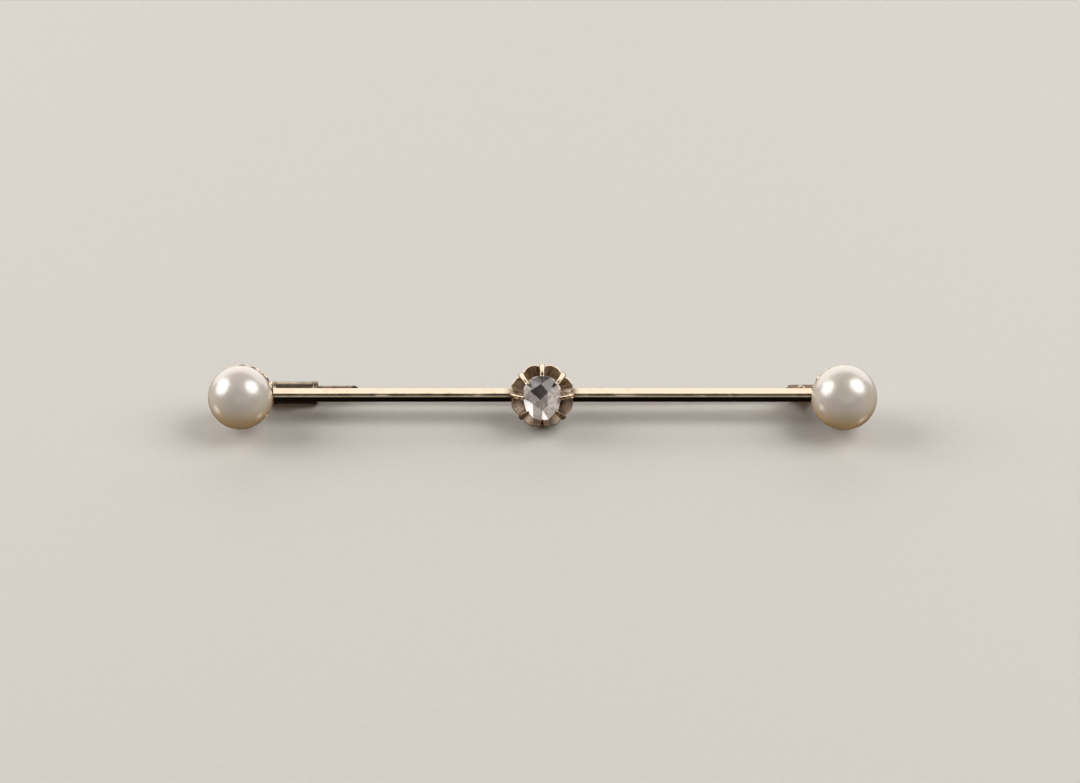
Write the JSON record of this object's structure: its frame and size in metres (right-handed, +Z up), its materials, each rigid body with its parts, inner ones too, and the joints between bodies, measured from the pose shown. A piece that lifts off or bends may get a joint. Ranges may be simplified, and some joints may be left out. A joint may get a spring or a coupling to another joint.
{
  "type": "bar brooch",
  "caption": "Slim gold bar brooch with a pearl in a fluted cup at each end, a rose-cut stone in a claw coronet in the middle, a hinged pin and a tube catch behind.",
  "frame": {"origin": "on the surface that the brooch lies on, under the middle of its bounding box", "axes": "+X along the bar towards the pin's hinge, +Z up from the surface, and the face of the brooch looks towards -Y and up"},
  "size_m": [0.0596, 0.009, 0.0068],
  "materials": {
    "gold": "polished",
    "pearl": "gloss",
    "crystal": "polished"
  },
  "bodies": {
    "frame_body": {"frame": "gold", "pearl_left": "pearl", "pearl_right": "pearl", "stone": "crystal", "hinge_rivet": "gold"},
    "pin": {"pin_stem": "gold"},
    "slide": {"catch_slide": "gold"}
  },
  "joints": [
    {"name": "pin_hinge", "type": "hinge", "parent": "frame_body", "child": "pin", "pos_m": [0.02347, 0.00347, 0.00095], "axis": [0, -0.501, -0.8654], "range_deg": [0, 100]},
    {"name": "catch_slide", "type": "slide", "parent": "frame_body", "child": "slide", "axis": [-1, 0, 0], "range_m": [0, 0.0038]}
  ]
}
